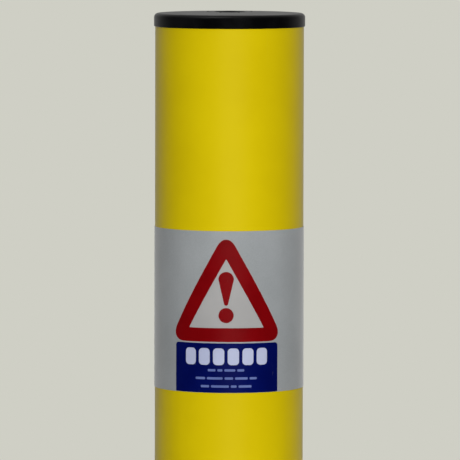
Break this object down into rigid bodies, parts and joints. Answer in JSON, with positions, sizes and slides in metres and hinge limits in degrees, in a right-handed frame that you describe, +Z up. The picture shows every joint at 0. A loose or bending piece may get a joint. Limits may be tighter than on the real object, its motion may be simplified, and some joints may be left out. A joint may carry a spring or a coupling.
{
  "type": "retractable bollard",
  "caption": "Round steel post with a flat end cap and a reflective band that slides down into a ground housing, lifted by a gas strut and locked by a key-turned bolt.",
  "frame": {"origin": "on the post's axis at ground level, in the top face of the cover plate", "axes": "+Z up along the post; the post's sticker faces -Y, the lock bolt and the key port are on the +Y side"},
  "size_m": [0.2, 0.2, 1.548],
  "materials": {
    "yellow_powder_coat": "gloss",
    "black_plastic": "satin",
    "reflective_tape": "semi-gloss",
    "red_vinyl": "gloss",
    "blue_vinyl": "gloss",
    "stainless_cover": "brushed",
    "galvanised_steel": "galvanised",
    "bare_steel": "machined",
    "zinc_plate": "zinc plated",
    "black_strut_paint": "satin",
    "ground_chrome": "ground and polished",
    "bronze": "turned",
    "guide_nylon": "machined",
    "grey_moulding": "moulded",
    "black_rubber": "matte",
    "grey_pvc": "satin"
  },
  "bodies": {
    "ground_housing": {"cover_plate": "stainless_cover", "cover_screws": "stainless_cover", "housing_flange": "galvanised_steel", "wiper_seal": "black_rubber", "guide_sleeve": "grey_moulding", "guide_liner": "guide_nylon", "housing_tube": "galvanised_steel", "keeper_pockets": "galvanised_steel", "anti_turn_rail": "galvanised_steel", "housing_base_plate": "galvanised_steel", "down_stop_buffers": "black_rubber", "buffer_studs": "zinc_plate", "drain_spigot": "grey_pvc", "flange_gussets": "galvanised_steel", "anchor_lugs": "galvanised_steel", "strut_rod": "ground_chrome", "strut_piston": "bronze", "strut_rod_eye": "zinc_plate", "strut_base_bracket": "galvanised_steel", "strut_base_pin": "zinc_plate", "strut_pin_clip": "zinc_plate"},
    "post": {"post_tube": "yellow_powder_coat", "reflective_band": "reflective_tape", "triangle_sticker": "red_vinyl", "label_sticker": "blue_vinyl", "top_cap": "black_plastic", "flap_hinge_pin": "stainless_cover", "head_plate": "bare_steel", "spindle_bush": "bronze", "strut_cylinder": "black_strut_paint", "strut_gland": "bronze", "strut_top_washer": "zinc_plate", "strut_top_nut": "zinc_plate", "foot_block": "bare_steel", "foot_block_lid": "bare_steel", "lid_screws": "zinc_plate", "detent_plunger": "zinc_plate", "foot_guide_ring": "guide_nylon", "foot_screws": "zinc_plate", "up_stop_ring": "black_rubber"},
    "lock_spindle": {"key_spindle": "bare_steel", "spindle_coupling": "bare_steel", "coupling_pins": "zinc_plate", "drive_rod": "bare_steel", "pinion": "bare_steel", "pinion_pin": "zinc_plate"},
    "lock_bolt": {"lock_bolt": "bare_steel"},
    "key_flap": {"key_flap": "black_plastic"}
  },
  "joints": [
    {"name": "post_lift", "type": "slide", "parent": "ground_housing", "child": "post", "axis": [0, 0, 1], "range_m": [-0.67, 0], "stiffness_N_per_m": 58.2, "springref_m": 2.233},
    {"name": "key_turn", "type": "hinge", "parent": "post", "child": "lock_spindle", "pos_m": [0, 0.024, 0.64], "axis": [0, 0, 1], "range_deg": [0, 90]},
    {"name": "bolt_slide", "type": "slide", "parent": "post", "child": "lock_bolt", "axis": [0, 1, 0], "range_m": [0, 0.0095]},
    {"name": "flap_hinge", "type": "hinge", "parent": "post", "child": "key_flap", "pos_m": [0, 0.0095, 0.668], "axis": [1, 0, 0], "range_deg": [0, 105]}
  ],
  "couplings": [
    {"joint": "bolt_slide", "follows": "key_turn", "m_per_rad": 0.006}
  ]
}
